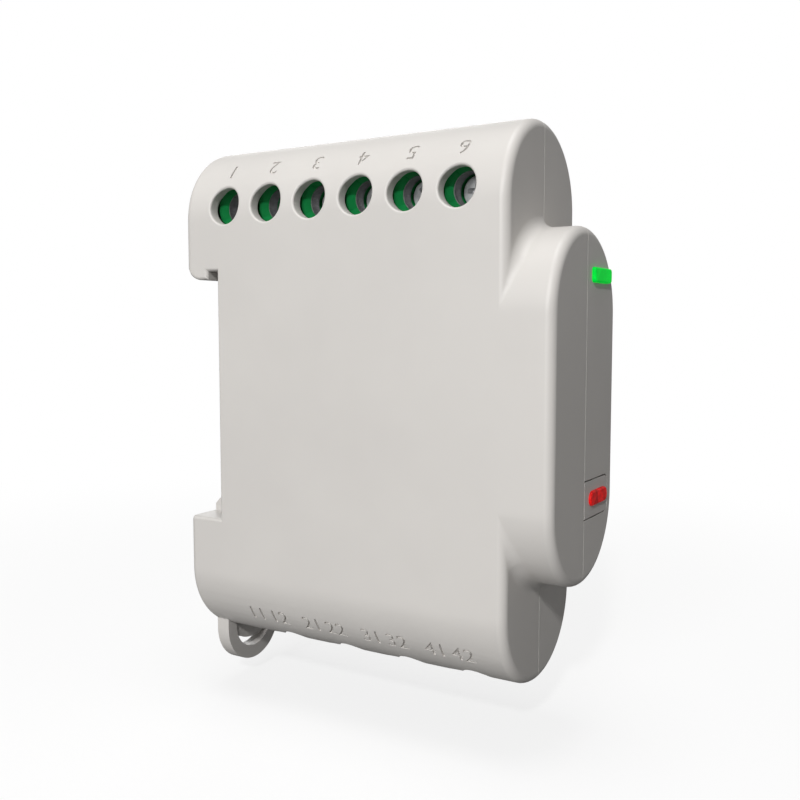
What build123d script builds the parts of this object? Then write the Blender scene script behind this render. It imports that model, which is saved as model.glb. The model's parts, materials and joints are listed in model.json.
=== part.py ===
# Smart three-phase energy meter for a 35 mm mounting rail
#
# Frame: the rail seat is the plane Y = 0, +Y points out of the back towards the rail and -Y to the
# front with the lights. X = 0 is the parting plane of the two case halves: the near half (-X) has
# the screw access holes, the far half (+X) the lights and the button. +Z is up. Millimetres.

import os
from math import sqrt

from build123d import *

os.makedirs("parts", exist_ok=True)

# Case
case_height = 73.5
case_width = 22.0
case_depth = 52.0
nose_height = 46.0
nose_depth = 6.0
wall = 1.8
edge_round = 1.2
root_round = 1.6
lining_gap = 0.35
overshoot = 1.0
slack = 0.1

# Rail seat, hook and lug
rail_height = 35.0
rail_play = 1.3
seat_depth = 6.0
seat_wall = 1.6
hook_gap = 1.8
hook_reach = 1.2
hook_round = 2.8
hook_top = 18.35
lug_round = 0.6

# Latch plate with its pull ring
latch_width = 12.2
latch_thickness = 2.2
latch_inset = 0.8
latch_play = 0.15
latch_travel = 2.5
nose_front = 1.9
nose_lift = 2.05
nose_bevel = 0.9
nose_recess_play = 0.3
back_lip = 1.5
window_height = 12.0
ring_reach = 5.85
ring_band = 2.3
ring_hole_rise = 3.0
tab_width = 3.0
tab_height = 2.0
tab_reach = 1.9
tab_play = 0.1
pocket_play = 0.35
pocket_ceiling = 1.2
spring_length = 8.5
spring_wire = 0.4

# Mains screw terminals, as many as the depth holds
pole_pitch = 7.5
first_pole = 1.5
screw_drop = 9.2
access_radius = 2.6
access_depth = 2.4
access_rim = 0.3
collar_radius = 3.0
collar_bore = 2.35
collar_gap = 0.2
collar_length = 1.9
collar_clearance = 0.3
block_floor = 1.4
block_end = 3.5
block_height = 12.4
block_top_gap = 1.95
chamber_wall = 0.9
chamber_top_play = 0.45
cage_wall = 0.8
cage_side = 0.7
cage_top = 1.0
cage_width = 5.0
cage_depth = 5.0
cage_travel = 1.8
cage_play = 0.1
cage_side_play = 0.2
wire_gap = 2.1
bar_thickness = 0.8
bar_width = 3.2
web = 0.65
head_gap = 0.05
head_height = 1.3
head_radius = 2.1
recess_width = 0.7
recess_depth = 0.7
recess_margin = 0.6
screw_radius = 1.5
thread_clearance = 0.05
shank_clearance = 0.2
entry_radius = 3.0
entry_offset = 0.4
entry_rim = 0.5
wire_bore = 2.1
wire_mouth = 0.6
pin_size = 1.0
pin_clearance = 0.1
pin_tail = 1.2

# Current transformer terminals, as many as the depth holds
port_pitch = 10.0
first_port = 7.5
port_radius = 4.4
port_rim = 0.4
port_offset = 0.3
port_block_gap = 0.2
port_block_depth = 10.2
port_block_height = 12.0
port_bottom_gap = 2.35
port_block_wall = 1.0
port_pole_pitch = 4.0
port_wire_radius = 1.3
port_wire_mouth = 0.4
port_wire_from_board = 3.4
port_wire_depth = 8.0
release_from_wire = 4.0
release_thickness = 2.0
release_width = 2.4
release_length = 5.0
release_proud = 0.3
release_travel = 1.0
release_play = 0.15
release_stop = 0.3
clip_thickness = 0.3
clip_width = 2.4
clip_gap = 0.25
clip_roof = 1.5

# Board
board_thickness = 1.6
board_back_gap = 2.6
board_gap = 0.6
board_corner = 1.5
board_top_gap = 0.75
boss_radius = 2.2
boss_gap = 0.4
peg_radius = 1.2
peg_length = 3.0
peg_clearance = 0.08
peg_depth_play = 0.3
nose_peg_high = 6.0
nose_peg_low = -4.0
seat_peg_rise = 10.5
board_screw_radius = 1.0
board_screw_length = 4.2
board_screw_head = 1.9
board_screw_head_height = 1.3
board_screw_high = 16.2
board_screw_low = -16.4
board_screw_mid = -3.6
board_screw_mid_inset = 17.0
board_screw_margin = 0.2
board_hole_clearance = 0.15
pilot_clearance = 0.05
pilot_play = 0.2

# Front lights and button
light_width = 6.3
light_height = 1.9
light_proud = 0.5
red_proud = 0.35
light_corner = 0.45
light_inset = 3.0
light_fit = 0.05
green_z = 17.0
button_z = -12.0
button_width = 8.5
button_height = 4.8
button_corner = 1.2
button_seam_gap = 0.2
button_play = 0.2
button_travel = 0.35
button_thickness = 2.3
flange_thickness = 1.0
flange_reach = 0.8
flange_gap = 0.1
lens_seat_depth = 1.4
pipe_flange = 0.6
stem_size = 1.6
push_stem_radius = 1.0
led_width = 2.0
led_length = 1.6
led_height = 0.7
led_gap = 0.3
switch_depth = 3.4
switch_width = 4.4
switch_height = 3.4
plunger_radius = 0.9
plunger_length = 1.2
plunger_root = 0.8
plunger_clearance = 0.1

# Parts on the board: height above it, size front to back, size up and down
relay_gap = 1.6
relay_footprint = (10.0, 20.0)
core_size = (9.0, 11.5, 12.0)
core_window = (5.4, 5.8)
bobbin_size = (10.4, 5.2, 5.6)
bulk_radius = 4.0
bulk_height = 12.0
bulk_rim = 0.8
film_size = (9.0, 10.4, 4.0)
varistor_radius = 4.3
varistor_thickness = 3.4
varistor_lift = 1.0
lead_radius = 0.35
fuse_radius = 1.5
fuse_length = 9.0
fuse_lead = 1.2
choke_radius = 3.2
choke_height = 7.5
choke_neck = 2.2
choke_flange = 1.2
radio_size = (0.8, 18.0, 14.0)
shield_size = (2.2, 12.5, 11.5)
shield_edge = 1.0
chip_size = (0.9, 7.0, 7.0)
crystal_size = (0.8, 3.2, 2.5)
burden_size = (0.6, 1.4, 2.2)
burden_drop = 2.5
divider_size = (0.6, 1.4, 3.0)
divider_rows = 3
divider_pitch = 3.8
divider_top = 14.0
part_round = 0.4
part_gap = 0.8

# Planes of the case, worked out from the sizes above
back_y = seat_depth
front_y = back_y - case_depth
nose_y = front_y - nose_depth
near_x = -case_width / 2
far_x = case_width / 2
cap_z = (case_height - case_width) / 2
lug_top = hook_top - rail_height - rail_play
hook_bottom = hook_top - hook_reach

# Board planes
board_far = far_x - wall - board_back_gap
board_near = board_far - board_thickness
board_front = front_y + wall + board_gap
board_back = -seat_wall - board_gap
board_half_height = cap_z + sqrt((far_x - wall) ** 2 - board_far**2) - board_top_gap
board_head_back = back_y - wall - board_gap
board_head_bottom = hook_top + seat_wall + board_gap

# Mains terminal planes, stacked from the board towards the near side
floor_x = board_near - block_floor
cage_far = floor_x - cage_play
cage_inner = cage_far - cage_wall
bar_far = cage_inner - wire_gap
bar_near = bar_far - bar_thickness
cage_top_far = bar_near - cage_play
cage_near = cage_top_far - cage_top
ceiling_x = cage_near - cage_travel - cage_play
web_near = ceiling_x - web
head_far = web_near - head_gap
head_near = head_far - head_height
collar_near = near_x + access_depth + collar_gap
block_near = collar_near + collar_length
screw_z = case_height / 2 - screw_drop
block_top = case_height / 2 - wall - block_top_gap
block_bottom = block_top - block_height
chamber_bottom = block_bottom + chamber_wall
chamber_top = screw_z + cage_depth / 2 + chamber_top_play
entry_x = bar_far + entry_offset
pin_z = chamber_bottom + pin_clearance + pin_size / 2
pole_count = int((-front_y - wall - block_end - first_pole) // pole_pitch) + 1
pole_spots = [-first_pole - pole_pitch * i for i in range(pole_count)]
block_back = pole_spots[0] + block_end
block_front = pole_spots[-1] - block_end

# Current transformer terminal planes
port_count = int((-front_y - wall - port_pitch / 2 - first_port) // port_pitch) + 1
port_spots = [-first_port - port_pitch * i for i in range(port_count)]
port_bottom = -case_height / 2 + wall + port_bottom_gap
port_top = port_bottom + port_block_height
port_wire_x = board_near - port_wire_from_board
release_x = port_wire_x - release_from_wire
release_spots = [y + side * port_pole_pitch / 2 for y in port_spots for side in (1, -1)]
release_bottom = port_bottom - release_proud
well_top = release_bottom + release_length + release_travel + release_stop
clip_top = port_top - clip_roof - clip_gap

# Latch planes
latch_back = back_y - latch_inset
latch_front = latch_back - latch_thickness
latch_top = lug_top + nose_lift
ring_bottom = -case_height / 2 - ring_reach
ring_centre = ring_bottom + latch_width / 2
recess_bottom = lug_top - latch_travel - nose_recess_play
pocket_top = recess_bottom - pocket_ceiling
tab_top = pocket_top - tab_play
tab_bottom = tab_top - tab_height
spring_seat = tab_bottom - spring_length
spring_radius = tab_reach / 2
spring_y = latch_front - spring_radius

# Front planes
light_x = far_x - light_inset - light_width / 2
button_x = button_seam_gap + button_width / 2
green_led_x = board_near - led_height / 2
red_led_x = board_far + led_height / 2
green_pipe_end = board_front - led_gap
red_pipe_end = green_pipe_end - button_travel
switch_x = board_near - switch_height / 2
plunger_tip = board_front - plunger_length
flange_front = nose_y + wall + flange_gap
flange_back = flange_front + flange_thickness
lens_back = nose_y + lens_seat_depth

# Locating pegs and board screws as (Y, Z)
nose_peg_y = nose_y + wall + boss_radius + boss_gap
seat_peg_y = boss_gap / 2 - seat_wall - boss_radius
peg_spots = [
    (nose_peg_y, nose_peg_high),
    (nose_peg_y, nose_peg_low),
    (seat_peg_y, seat_peg_rise),
    (seat_peg_y, -seat_peg_rise),
]
screw_edge_y = board_back - board_screw_head - board_screw_margin
board_screw_spots = [
    (screw_edge_y, board_screw_high),
    (screw_edge_y, board_screw_low),
    (board_back - board_screw_mid_inset, board_screw_mid),
]


# A stadium-shaped block that stands on its end, from start_y towards the front
def stadium_block(height, width, start_y, length):
    with BuildPart() as block:
        with BuildSketch(Plane.XZ.offset(-start_y)):
            SlotOverall(height, width, rotation=90)
        extrude(amount=length)
    return block.part


# The room inside the body or the nose that inner pieces keep to
def lining(height, start_y, end_y):
    inset = 2 * (wall + lining_gap)
    return stadium_block(height - inset, case_width - inset, start_y, start_y - end_y)


# Straight round lead along X
def along_x(start_x, end_x, y, z, radius):
    with BuildPart() as rod:
        with BuildSketch(Plane.YZ.offset(start_x)):
            with Locations((y, z)):
                Circle(radius)
        extrude(amount=end_x - start_x)
    return rod.part


body_room = stadium_block(
    case_height - 2 * wall, case_width - 2 * wall, back_y - wall, case_depth - 2 * wall
)
nose_room = stadium_block(
    nose_height - 2 * wall, case_width - 2 * wall, front_y + wall + overshoot, nose_depth + overshoot
)
body_lining = lining(case_height, back_y - wall - lining_gap, front_y + wall + lining_gap)
nose_lining = lining(nose_height, front_y + wall + lining_gap, nose_y + wall)

# Hollow of the case, less what stays solid round the rail seat and the latch guide
with BuildPart() as hollow:
    add(body_room)
    add(nose_room)
    with BuildSketch(Plane.YZ):
        with BuildLine():
            Polyline(
                (-seat_wall, hook_top + seat_wall),
                (back_y + overshoot, hook_top + seat_wall),
                (back_y + overshoot, -case_height),
                (-seat_wall, -case_height),
                close=True,
            )
        make_face()
    extrude(amount=case_width, both=True, mode=Mode.SUBTRACT)

# Nose that stands out of the front, rounded on its front edge
with BuildPart() as nose:
    add(stadium_block(nose_height, case_width, front_y + wall, nose_depth + wall))
    fillet(nose.faces().sort_by(Axis.Y)[0].edges(), edge_round)

# Notch for the rail, with the hook above and the lug below
with BuildPart() as notch:
    with BuildSketch(Plane.YZ):
        with BuildLine():
            Polyline(
                (back_y - lug_round, lug_top),
                (0, lug_top),
                (0, hook_top),
                (hook_gap, hook_top),
                (hook_gap, hook_bottom),
                (back_y - hook_round, hook_bottom),
            )
            TangentArc(
                (back_y - hook_round, hook_bottom),
                (back_y, hook_bottom + hook_round),
                tangent=(1, 0),
            )
            Polyline(
                (back_y, hook_bottom + hook_round),
                (back_y + overshoot, hook_bottom + hook_round),
                (back_y + overshoot, lug_top - lug_round),
                (back_y, lug_top - lug_round),
            )
            TangentArc(
                (back_y, lug_top - lug_round),
                (back_y - lug_round, lug_top),
                tangent=(0, 1),
            )
        make_face()
    extrude(amount=case_width, both=True)

# Room for the latch plate, its nose, its tab and the spring
with BuildPart() as latch_room:
    slot_width = latch_width + 2 * latch_play
    with BuildSketch(Plane.XY.offset(-case_height)):
        with Locations((0, (latch_front + latch_back) / 2)):
            Rectangle(slot_width, latch_thickness + 2 * latch_play)
    extrude(amount=case_height + lug_top + overshoot)
    with BuildSketch(Plane.XY.offset(recess_bottom)):
        with Locations((0, (nose_front - latch_play + latch_back) / 2)):
            Rectangle(slot_width, latch_back - nose_front + latch_play)
    extrude(amount=lug_top - recess_bottom + overshoot)
    with BuildSketch(Plane.XY.offset(spring_seat)):
        with Locations((0, latch_front - (tab_reach + pocket_play) / 2)):
            Rectangle(tab_width + 2 * pocket_play, tab_reach + pocket_play)
    extrude(amount=pocket_top - spring_seat)
    with BuildSketch(Plane.XZ.offset(-back_y - overshoot)):
        with Locations((0, lug_top + overshoot - window_height / 2)):
            Rectangle(latch_width - 2 * back_lip, window_height)
    extrude(amount=back_y + overshoot - latch_back)

# Closed case before it is parted into halves
with BuildPart() as case:
    add(stadium_block(case_height, case_width, back_y, case_depth))
    fillet(case.faces().filter_by(Axis.Y).edges(), edge_round)
    add(nose.part)
    add(hollow.part, mode=Mode.SUBTRACT)
    add(notch.part, mode=Mode.SUBTRACT)
    with BuildSketch(Plane.XY.offset(-case_height)):
        with Locations([(-port_offset, y) for y in port_spots]):
            Circle(port_radius)
    extrude(amount=case_height / 2 + wall + port_radius / 2, mode=Mode.SUBTRACT)
    port_rims = case.edges().filter_by(
        lambda e: e.geom_type != GeomType.LINE
        and e.bounding_box().min.Z < -case_height / 2 + wall / 2
        and e.bounding_box().size.Y < 2 * port_radius + slack
        and abs(e.center().Y - back_y) > port_radius
    )
    fillet(port_rims, port_rim)
    with BuildSketch(Plane.XY.offset(case_height)):
        with Locations([(entry_x, y) for y in pole_spots]):
            Circle(entry_radius)
    extrude(amount=-case_height / 2 - wall - entry_radius / 2, mode=Mode.SUBTRACT)
    entry_rims = case.edges().filter_by(
        lambda e: e.geom_type != GeomType.LINE
        and e.bounding_box().max.Z > case_height / 2 - wall / 2
        and e.bounding_box().size.Y < 2 * entry_radius + slack
        and e.bounding_box().size.X < 2 * entry_radius + slack
    )
    fillet(entry_rims, entry_rim)
    add(latch_room.part, mode=Mode.SUBTRACT)

# Near half with the screw access holes and the locating pegs
with BuildPart() as near_shell:
    add(case.part)
    split(bisect_by=Plane.YZ, keep=Keep.BOTTOM)
    root_arcs = near_shell.edges().filter_by_position(Axis.Y, front_y, front_y)
    root_arcs = root_arcs.filter_by(GeomType.CIRCLE)
    fillet(root_arcs.filter_by(lambda e: abs(e.radius - far_x) < slack), root_round)
    with BuildSketch(Plane.YZ.offset(near_x + access_depth)):
        with Locations([(y, screw_z) for y in pole_spots]):
            Circle(collar_radius + collar_clearance)
    extrude(amount=wall + access_depth, mode=Mode.SUBTRACT)
    with BuildSketch(Plane.YZ.offset(near_x - overshoot)):
        with Locations([(y, screw_z) for y in pole_spots]):
            Circle(access_radius)
    extrude(amount=access_depth + 2 * overshoot, mode=Mode.SUBTRACT)
    access_rims = near_shell.edges().filter_by(
        lambda e: e.geom_type != GeomType.LINE
        and e.bounding_box().max.X < near_x + access_depth - slack
        and e.bounding_box().size.Y < 2 * access_radius + slack
        and abs(e.center().Z - screw_z) < access_radius
    )
    fillet(access_rims, access_rim)
    with BuildSketch(Plane.YZ):
        with Locations(peg_spots):
            Circle(boss_radius)
    extrude(amount=near_x + wall / 2)
    with BuildSketch(Plane.YZ.offset(-overshoot)):
        with Locations(peg_spots):
            Circle(peg_radius)
    extrude(amount=peg_length + overshoot)
near_shell.part.label = "near_shell"
export_step(near_shell.part, "parts/near_shell.step")

# Far half with the lights, the button opening, the peg sockets and the board posts
with BuildPart() as far_shell:
    add(case.part)
    split(bisect_by=Plane.YZ, keep=Keep.TOP)
    with BuildSketch(Plane.YZ):
        with Locations(peg_spots):
            Circle(boss_radius)
    extrude(amount=far_x - wall / 2)
    with BuildSketch(Plane.YZ):
        with Locations(peg_spots):
            Circle(peg_radius + peg_clearance)
    extrude(amount=peg_length + peg_depth_play, mode=Mode.SUBTRACT)
    with BuildSketch(Plane.YZ.offset(board_far)):
        with Locations(board_screw_spots):
            Circle(boss_radius)
    extrude(amount=far_x - wall / 2 - board_far)
    with BuildSketch(Plane.YZ.offset(board_far)):
        with Locations(board_screw_spots):
            Circle(board_screw_radius + pilot_clearance)
    extrude(amount=board_screw_length - board_thickness + pilot_play, mode=Mode.SUBTRACT)
    with BuildSketch(Plane.XZ.offset(-nose_y)):
        with Locations((light_x, green_z)):
            RectangleRounded(
                light_width + 2 * light_fit, light_height + 2 * light_fit, light_corner
            )
    extrude(amount=-wall, mode=Mode.SUBTRACT)
    with BuildSketch(Plane.XZ.offset(-nose_y)) as button_opening:
        with Locations((button_x, button_z)):
            Rectangle(button_width + 2 * button_play, button_height + 2 * button_play)
        fillet(button_opening.vertices().group_by(Axis.X)[-1], button_corner + button_play)
    extrude(amount=-wall, mode=Mode.SUBTRACT)
far_shell.part.label = "far_shell"
export_step(far_shell.part, "parts/far_shell.step")

# Latch plate: bevelled nose at the top, pull ring at the bottom, tab for the spring
with BuildPart() as din_latch:
    with BuildSketch(Plane.XZ.offset(-latch_back)):
        with Locations((0, ring_centre)):
            Circle(latch_width / 2)
        with Locations((0, (latch_top + ring_centre) / 2)):
            Rectangle(latch_width, latch_top - ring_centre)
        with Locations((0, ring_centre + ring_hole_rise / 2)):
            SlotOverall(
                latch_width - 2 * ring_band + ring_hole_rise,
                latch_width - 2 * ring_band,
                rotation=90,
                mode=Mode.SUBTRACT,
            )
    extrude(amount=latch_thickness)
    nose_bottom = lug_top + tab_play
    with BuildSketch(Plane.XY.offset(nose_bottom)):
        with Locations((0, (nose_front + latch_back) / 2)):
            Rectangle(latch_width, latch_back - nose_front)
    extrude(amount=latch_top - nose_bottom)
    bevel_edge = din_latch.edges().filter_by(Axis.X).sort_by(lambda e: e.center().Y + e.center().Z)
    chamfer(bevel_edge[-1], nose_bevel)
    with BuildSketch(Plane.XY.offset(tab_bottom)):
        with Locations((0, latch_front - tab_reach / 2)):
            Rectangle(tab_width, tab_reach)
    extrude(amount=tab_height)
din_latch.part.label = "din_latch"
export_step(din_latch.part, "parts/din_latch.step")

# Compression spring under the latch's tab, as a plain sleeve because the case hides it
with BuildPart() as latch_spring:
    with BuildSketch(Plane.XY.offset(spring_seat)):
        with Locations((0, spring_y)):
            Circle(spring_radius)
            Circle(spring_radius - spring_wire, mode=Mode.SUBTRACT)
    extrude(amount=spring_length)
latch_spring.part.label = "latch_spring"
export_step(latch_spring.part, "parts/latch_spring.step")

# Green housing of the mains screw terminals, one collar and one wire entry for each pole
with BuildPart() as mains_terminal_housing:
    with BuildSketch(Plane.XZ.offset(-block_back)):
        with Locations(((block_near + board_near) / 2, (block_bottom + block_top) / 2)):
            Rectangle(board_near - block_near, block_height)
    extrude(amount=block_back - block_front)
    add(body_lining, mode=Mode.INTERSECT)
    with BuildSketch(Plane.YZ.offset(collar_near)):
        with Locations([(y, screw_z) for y in pole_spots]):
            Circle(collar_radius)
    extrude(amount=web_near - collar_near)
    with BuildSketch(Plane.YZ.offset(collar_near)):
        with Locations([(y, screw_z) for y in pole_spots]):
            Circle(collar_bore)
    extrude(amount=web_near - collar_near, mode=Mode.SUBTRACT)
    with BuildSketch(Plane.YZ.offset(web_near)):
        with Locations([(y, screw_z) for y in pole_spots]):
            Circle(screw_radius + shank_clearance)
    extrude(amount=web, mode=Mode.SUBTRACT)
    with BuildSketch(Plane.YZ.offset(ceiling_x)):
        with Locations([(y, (chamber_bottom + chamber_top) / 2) for y in pole_spots]):
            Rectangle(cage_width + 2 * cage_side_play, chamber_top - chamber_bottom)
    extrude(amount=floor_x - ceiling_x, mode=Mode.SUBTRACT)
    with BuildSketch(Plane.XY.offset(block_top)):
        with Locations([(entry_x, y) for y in pole_spots]):
            Circle(wire_bore)
    extrude(amount=chamber_top - block_top, mode=Mode.SUBTRACT)
    mouths = mains_terminal_housing.edges().filter_by_position(Axis.Z, block_top, block_top)
    chamfer(mouths.filter_by(GeomType.CIRCLE), wire_mouth)
    with BuildSketch(Plane.YZ.offset(floor_x)):
        with Locations([(y, pin_z) for y in pole_spots]):
            Rectangle(pin_size + 2 * pin_clearance, pin_size + 2 * pin_clearance)
    extrude(amount=block_floor, mode=Mode.SUBTRACT)
mains_terminal_housing.part.label = "mains_terminal_housing"
export_step(mains_terminal_housing.part, "parts/mains_terminal_housing.step")

# Six contact bars, each with the pin that is soldered into the board
with BuildPart() as mains_contacts:
    bar_bottom = pin_z - pin_size / 2
    bar_top = screw_z + cage_depth / 2
    with BuildSketch(Plane.YZ.offset(bar_near)):
        with Locations([(y, (bar_bottom + bar_top) / 2) for y in pole_spots]):
            Rectangle(bar_width, bar_top - bar_bottom)
    extrude(amount=bar_thickness)
    with BuildSketch(Plane.YZ.offset(bar_near)):
        with Locations([(y, pin_z) for y in pole_spots]):
            Rectangle(pin_size, pin_size)
    extrude(amount=board_far + pin_tail - bar_near)
mains_contacts.part.label = "mains_contacts"
export_step(mains_contacts.part, "parts/mains_contacts.step")

# Rising cages and their screws, one pair for each pole
for number, y in enumerate(pole_spots, start=1):
    with BuildPart() as terminal_cage:
        with BuildSketch(Plane.YZ.offset(cage_near)):
            with Locations((y, screw_z)):
                Rectangle(cage_width, cage_depth)
        extrude(amount=cage_far - cage_near)
        with BuildSketch(Plane.YZ.offset(cage_top_far)):
            with Locations((y, screw_z)):
                Rectangle(cage_width - 2 * cage_side, cage_depth)
        extrude(amount=cage_inner - cage_top_far, mode=Mode.SUBTRACT)
        with BuildSketch(Plane.YZ.offset(cage_near)):
            with Locations((y, screw_z)):
                Circle(screw_radius + thread_clearance)
        extrude(amount=cage_top, mode=Mode.SUBTRACT)
    terminal_cage.part.label = f"terminal_cage_{number}"
    export_step(terminal_cage.part, f"parts/terminal_cage_{number}.step")

    with BuildPart() as terminal_screw:
        with BuildSketch(Plane.YZ.offset(head_near)):
            with Locations((y, screw_z)):
                Circle(head_radius)
        extrude(amount=head_height)
        with BuildSketch(Plane.YZ.offset(head_far)):
            with Locations((y, screw_z)):
                Circle(screw_radius)
        extrude(amount=bar_near - thread_clearance - head_far)
        with BuildSketch(Plane.YZ.offset(head_near)):
            with Locations((y, screw_z)):
                Rectangle(2 * head_radius, recess_width)
                Rectangle(recess_width, 2 * (head_radius - recess_margin))
        extrude(amount=recess_depth, mode=Mode.SUBTRACT)
    terminal_screw.part.label = f"terminal_screw_{number}"
    export_step(terminal_screw.part, f"parts/terminal_screw_{number}.step")

# Two-pole push-in terminals for the current transformers
for number, port_y in enumerate(port_spots, start=1):
    poles = [port_y + side * port_pole_pitch / 2 for side in (1, -1)]
    with BuildPart() as ct_terminal:
        with BuildSketch(Plane.YZ.offset(board_near)):
            with Locations((port_y, (port_bottom + port_top) / 2)):
                Rectangle(port_pitch - port_block_gap, port_block_height)
        extrude(amount=-port_block_depth)
        add(body_lining, mode=Mode.INTERSECT)
        with BuildSketch(Plane.XY.offset(port_bottom)):
            with Locations([(port_wire_x, y) for y in poles]):
                Circle(port_wire_radius)
        extrude(amount=port_wire_depth, mode=Mode.SUBTRACT)
        mouths = ct_terminal.edges().filter_by_position(Axis.Z, port_bottom, port_bottom)
        chamfer(mouths.filter_by(GeomType.CIRCLE), port_wire_mouth)
        with BuildSketch(Plane.XY.offset(port_bottom - overshoot)):
            with Locations([(release_x, y) for y in poles]):
                Rectangle(
                    release_thickness + 2 * release_play, release_width + 2 * release_play
                )
        extrude(amount=well_top - port_bottom + overshoot, mode=Mode.SUBTRACT)
        with BuildSketch(Plane.XZ.offset(-port_y)):
            with BuildLine():
                Polyline(
                    (release_x - release_thickness / 2 - release_play, well_top),
                    (port_wire_x + port_wire_radius, well_top),
                    (port_wire_x + port_wire_radius, port_top - clip_roof),
                    (release_x - release_thickness / 2 - release_play, port_top - clip_roof),
                    close=True,
                )
            make_face()
        chamber_half = port_pole_pitch / 2 + clip_width / 2 + release_play
        extrude(amount=chamber_half, both=True, mode=Mode.SUBTRACT)
        with BuildSketch(Plane.YZ.offset(board_near)):
            with Locations((port_y, (port_bottom + port_top) / 2)):
                rib_width = port_pole_pitch - clip_width - 2 * release_play
                Rectangle(rib_width, port_block_height - 2 * clip_roof)
        extrude(amount=port_block_wall - port_block_depth)
    ct_terminal.part.label = f"ct_terminal_{number}"
    export_step(ct_terminal.part, f"parts/ct_terminal_{number}.step")

# Release buttons beside the wire holes of the current transformer terminals
for number, y in enumerate(release_spots, start=1):
    with BuildPart() as ct_release:
        with BuildSketch(Plane.XY.offset(release_bottom)):
            with Locations((release_x, y)):
                Rectangle(release_thickness, release_width)
        extrude(amount=release_length)
        fillet(ct_release.faces().sort_by(Axis.Z)[0].edges(), release_play)
    ct_release.part.label = f"ct_release_{number}"
    export_step(ct_release.part, f"parts/ct_release_{number}.step")

# Leaf springs that grip the wires of the current transformers
with BuildPart() as ct_clips:
    leaf_x = release_x - release_thickness / 2 - release_play + clip_gap
    leaf_bottom = well_top + clip_gap
    for y in release_spots:
        with BuildSketch(Plane.XZ.offset(-y)):
            with BuildLine():
                Polyline(
                    (leaf_x, leaf_bottom),
                    (leaf_x, clip_top),
                    (port_wire_x - port_wire_radius, clip_top),
                    (port_wire_x - port_wire_radius / 2, leaf_bottom + clip_gap),
                )
            trace(line_width=clip_thickness)
        extrude(amount=clip_width / 2, both=True)
ct_clips.part.label = "ct_clips"
export_step(ct_clips.part, "parts/ct_clips.step")

# Main board, notched round the peg bosses and drilled for the screws and pins
with BuildPart() as main_board:
    with BuildSketch(Plane.YZ.offset(board_near)) as board_outline:
        with BuildLine():
            Polyline(
                (board_front, -board_half_height),
                (board_back, -board_half_height),
                (board_back, board_head_bottom),
                (board_head_back, board_head_bottom),
                (board_head_back, board_half_height),
                (board_front, board_half_height),
                close=True,
            )
        make_face()
        fillet(board_outline.vertices().group_by(Axis.X)[0], board_corner)
        with Locations(peg_spots):
            Circle(boss_radius + boss_gap, mode=Mode.SUBTRACT)
        with Locations(board_screw_spots):
            Circle(board_screw_radius + board_hole_clearance, mode=Mode.SUBTRACT)
        with Locations([(y, pin_z) for y in pole_spots]):
            hole = pin_size + 2 * pin_clearance
            Rectangle(hole, hole, mode=Mode.SUBTRACT)
    extrude(amount=board_thickness)
main_board.part.label = "main_board"
export_step(main_board.part, "parts/main_board.step")

# Screws that hold the board on the posts of the far half
with BuildPart() as board_screws:
    with BuildSketch(Plane.YZ.offset(board_near - board_screw_head_height)):
        with Locations(board_screw_spots):
            Circle(board_screw_head)
    extrude(amount=board_screw_head_height)
    with BuildSketch(Plane.YZ.offset(board_near)):
        with Locations(board_screw_spots):
            Circle(board_screw_radius)
    extrude(amount=board_screw_length)
    with BuildSketch(Plane.YZ.offset(board_near - board_screw_head_height)):
        with Locations(board_screw_spots):
            Rectangle(2 * (board_screw_head - recess_margin), recess_width)
            Rectangle(recess_width, 2 * (board_screw_head - recess_margin))
    extrude(amount=board_screw_head_height / 2, mode=Mode.SUBTRACT)
board_screws.part.label = "board_screws"
export_step(board_screws.part, "parts/board_screws.step")

# Green light pipe: bar in the front wall, flange behind it, stem to its diode
with BuildPart() as green_light_pipe:
    with BuildSketch(Plane.XZ.offset(-nose_y - wall - light_fit)):
        with Locations((light_x, green_z)):
            Rectangle(light_width + 2 * pipe_flange, light_height + 2 * pipe_flange)
    extrude(amount=-pipe_flange)
    add(nose_lining, mode=Mode.INTERSECT)
    with BuildSketch(Plane.XZ.offset(-nose_y + light_proud)):
        with Locations((light_x, green_z)):
            RectangleRounded(light_width, light_height, light_corner)
    extrude(amount=-wall - light_proud)
    fillet(green_light_pipe.faces().sort_by(Axis.Y)[0].edges(), light_corner / 2)
    with BuildSketch(Plane.XZ.offset(-nose_y - wall)):
        with Locations((green_led_x, green_z)):
            Rectangle(stem_size, stem_size)
    extrude(amount=nose_y + wall - green_pipe_end)
green_light_pipe.part.label = "green_light_pipe"
export_step(green_light_pipe.part, "parts/green_light_pipe.step")

# Front button with a seat for its light pipe and a stem that reaches the switch
with BuildPart() as front_button:
    with BuildSketch(Plane.XZ.offset(-flange_front)):
        with Locations((button_x, button_z)):
            Rectangle(button_width, button_height + 2 * flange_reach)
    extrude(amount=-flange_thickness)
    add(nose_lining, mode=Mode.INTERSECT)
    with BuildSketch(Plane.XZ.offset(-nose_y)) as button_face:
        with Locations((button_x, button_z)):
            Rectangle(button_width, button_height)
        fillet(button_face.vertices().group_by(Axis.X)[-1], button_corner)
    extrude(amount=-button_thickness)
    with BuildSketch(Plane.XZ.offset(-flange_back)):
        with Locations((switch_x, button_z)):
            Circle(push_stem_radius)
    extrude(amount=flange_back - plunger_tip)
    with BuildSketch(Plane.XZ.offset(-nose_y)):
        with Locations((light_x, button_z)):
            SlotOverall(light_width + 2 * light_fit, light_height + 2 * light_fit)
    extrude(amount=-lens_seat_depth - light_fit, mode=Mode.SUBTRACT)
    with BuildSketch(Plane.XZ.offset(-nose_y)):
        with Locations((red_led_x, button_z)):
            Rectangle(stem_size + 2 * light_fit, stem_size + 2 * light_fit)
    extrude(amount=nose_y - flange_back, mode=Mode.SUBTRACT)
front_button.part.label = "front_button"
export_step(front_button.part, "parts/front_button.step")

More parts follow.
